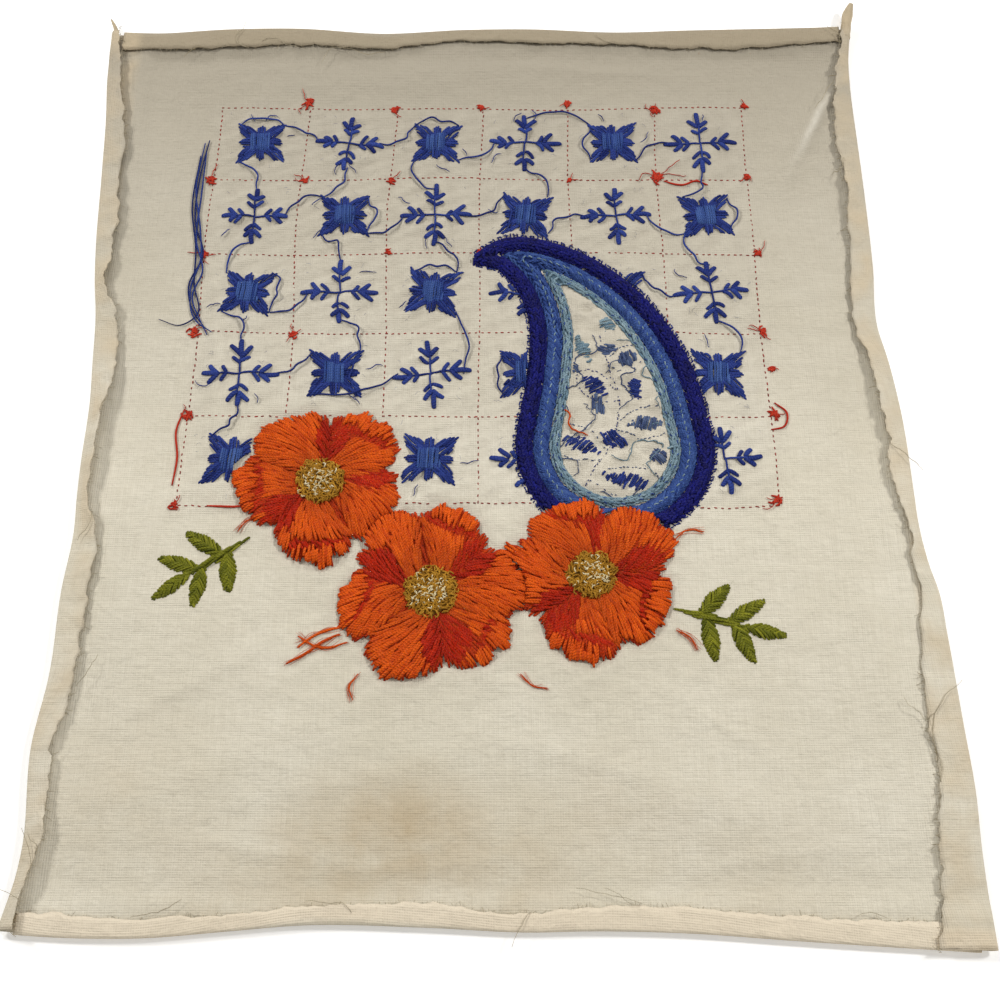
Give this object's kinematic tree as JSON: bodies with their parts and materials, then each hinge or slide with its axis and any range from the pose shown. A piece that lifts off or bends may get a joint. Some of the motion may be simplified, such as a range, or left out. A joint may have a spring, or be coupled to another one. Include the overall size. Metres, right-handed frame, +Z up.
{
  "type": "embroidered picture",
  "caption": "Unframed linen sheet with its raw edges turned over, worked with raised wool blossoms, a curled drop, leaf sprays and small motifs.",
  "frame": {"origin": "on the surface it lies on, under the middle of the sheet", "axes": "+X to the picture's right, +Y towards its top edge, +Z up out of the embroidered side"},
  "size_m": [0.457, 0.5473, 0.0095],
  "materials": {
    "linen": "matte plain weave",
    "orange_wool": "soft satin stitch",
    "gold_wool": "knotted",
    "green_wool": "soft satin stitch",
    "navy_wool": "soft chain stitch",
    "blue_wool": "soft straight stitch",
    "mid_blue_wool": "soft satin stitch",
    "pale_blue_wool": "soft satin stitch"
  },
  "bodies": {
    "root": {"blossom_left": "orange_wool", "blossom_middle": "orange_wool", "blossom_right": "orange_wool", "drop_border": "navy_wool", "drop_inner_band": "pale_blue_wool", "drop_middle_band": "mid_blue_wool", "heart_left": "gold_wool", "heart_middle": "gold_wool", "heart_right": "gold_wool", "leaves_lower": "green_wool", "leaves_upper": "green_wool", "linen": "linen", "sprig_1_2": "blue_wool", "sprig_1_4": "blue_wool", "sprig_1_6": "blue_wool", "sprig_2_1": "blue_wool", "sprig_2_3": "blue_wool", "sprig_2_5": "blue_wool", "sprig_3_2": "blue_wool", "sprig_3_6": "blue_wool", "sprig_4_1": "blue_wool", "sprig_4_3": "blue_wool", "star_1_1": "blue_wool", "star_1_3": "blue_wool", "star_1_5": "blue_wool", "star_2_2": "blue_wool", "star_2_6": "blue_wool", "star_3_1": "blue_wool", "star_3_3": "blue_wool", "star_4_2": "blue_wool"}
  },
  "joints": []
}
